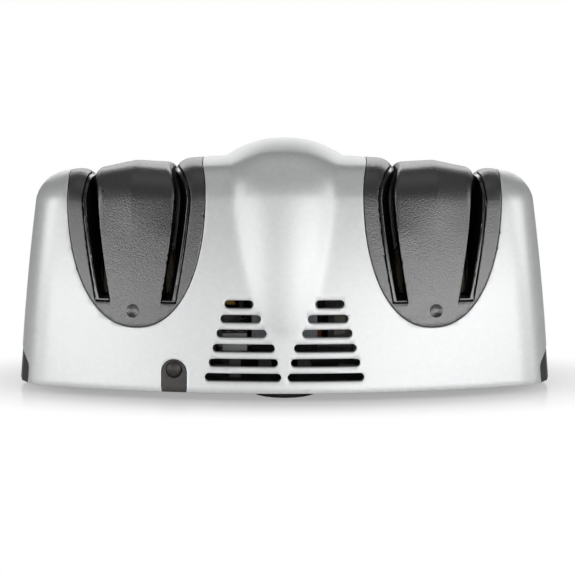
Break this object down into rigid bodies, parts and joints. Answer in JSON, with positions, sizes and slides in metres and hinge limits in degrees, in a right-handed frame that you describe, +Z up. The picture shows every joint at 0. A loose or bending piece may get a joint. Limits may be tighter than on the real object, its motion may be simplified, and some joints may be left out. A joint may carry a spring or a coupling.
{
  "type": "electric knife sharpener",
  "caption": "Domed electric knife sharpener with black guide saddles, curved blade slots over spring-loaded abrasive discs, a rocker switch and sliding swarf covers.",
  "frame": {"origin": "on the surface it stands on, under the middle of the body", "axes": "+Z up; +X along the length, to the right seen from the vented rear face; -Y out of the rear face with the vents and the cord gland, +Y out of the face with the switch"},
  "size_m": [0.2472, 0.1, 0.1142],
  "materials": {
    "silver_paint": "silver-painted moulding, satin",
    "textured_black_abs": "fine spark-textured moulding",
    "gloss_black_abs": "polished moulding",
    "dark_grey_abs": "satin moulding",
    "black_abs": "plain moulding",
    "rubber": "matt",
    "zinc_plated_steel": "bright zinc plating",
    "ground_steel": "ground",
    "laminated_steel": "stacked laminations, varnished",
    "enamelled_copper": "enamelled winding",
    "copper": "turned",
    "brass": "pressed",
    "sintered_bronze": "sintered, oil-filled",
    "abrasive": "bonded fine grit",
    "nylon": "plain moulding",
    "grey_thermoset": "plain moulding"
  },
  "bodies": {
    "housing": {"upper_housing": "silver_paint", "guide_saddle_left": "textured_black_abs", "guide_saddle_right": "textured_black_abs", "slot_liner_left_outer": "gloss_black_abs", "slot_liner_left_inner": "gloss_black_abs", "slot_liner_right_outer": "gloss_black_abs", "slot_liner_right_inner": "gloss_black_abs", "cord_gland": "dark_grey_abs", "end_grip_left": "dark_grey_abs", "end_grip_right": "dark_grey_abs", "base_plate": "black_abs", "foot_rear": "rubber", "foot_front_left": "rubber", "foot_front_right": "rubber", "housing_screw_1": "zinc_plated_steel", "housing_screw_2": "zinc_plated_steel", "housing_screw_3": "zinc_plated_steel", "housing_screw_4": "zinc_plated_steel", "stator_core": "laminated_steel", "field_coil_upper": "enamelled_copper", "field_coil_lower": "enamelled_copper", "motor_bracket_left": "zinc_plated_steel", "motor_bracket_right": "zinc_plated_steel", "brush_holder_front": "brass", "brush_holder_back": "brass", "bush_left_outer": "sintered_bronze", "bush_left_inner": "sintered_bronze", "bush_right_inner": "sintered_bronze", "bush_right_outer": "sintered_bronze", "switch_body": "gloss_black_abs", "terminal_block": "grey_thermoset"},
    "rotor": {"drive_shaft": "ground_steel", "armature_core": "laminated_steel", "commutator": "copper", "cooling_fan": "nylon", "retaining_ring_left_outer": "ground_steel", "retaining_ring_left_inner": "ground_steel", "disc_spring_left": "ground_steel", "retaining_ring_right_outer": "ground_steel", "retaining_ring_right_inner": "ground_steel", "disc_spring_right": "ground_steel"},
    "disc_left_outer": {"disc_left_outer": "abrasive"},
    "disc_left_inner": {"disc_left_inner": "abrasive"},
    "disc_right_outer": {"disc_right_outer": "abrasive"},
    "disc_right_inner": {"disc_right_inner": "abrasive"},
    "rocker": {"power_rocker": "gloss_black_abs"},
    "swarf_cover_left": {"swarf_cover_left": "dark_grey_abs"},
    "swarf_cover_right": {"swarf_cover_right": "dark_grey_abs"}
  },
  "joints": [
    {"name": "rotor_spin", "type": "hinge", "parent": "housing", "child": "rotor", "pos_m": [0, 0, 0.042], "axis": [1, 0, 0], "continuous": true},
    {"name": "disc_left_outer_slide", "type": "slide", "parent": "rotor", "child": "disc_left_outer", "axis": [1, 0, 0], "range_m": [0, 0.0015], "stiffness_N_per_m": 900, "springref_m": -0.001, "deforming": ["disc_spring_left"]},
    {"name": "disc_left_inner_slide", "type": "slide", "parent": "rotor", "child": "disc_left_inner", "axis": [-1, 0, 0], "range_m": [0, 0.0015], "stiffness_N_per_m": 900, "springref_m": -0.001, "deforming": ["disc_spring_left"]},
    {"name": "disc_right_outer_slide", "type": "slide", "parent": "rotor", "child": "disc_right_outer", "axis": [-1, 0, 0], "range_m": [0, 0.0015], "stiffness_N_per_m": 900, "springref_m": -0.001, "deforming": ["disc_spring_right"]},
    {"name": "disc_right_inner_slide", "type": "slide", "parent": "rotor", "child": "disc_right_inner", "axis": [1, 0, 0], "range_m": [0, 0.0015], "stiffness_N_per_m": 900, "springref_m": -0.001, "deforming": ["disc_spring_right"]},
    {"name": "rocker_tip", "type": "hinge", "parent": "housing", "child": "rocker", "pos_m": [0, 0.0466, 0.01858], "axis": [0, -0.1386, 0.9903], "range_deg": [0, 16]},
    {"name": "swarf_cover_left_slide", "type": "slide", "parent": "housing", "child": "swarf_cover_left", "axis": [0, 1, 0], "range_m": [0, 0.018]},
    {"name": "swarf_cover_right_slide", "type": "slide", "parent": "housing", "child": "swarf_cover_right", "axis": [0, 1, 0], "range_m": [0, 0.018]}
  ]
}
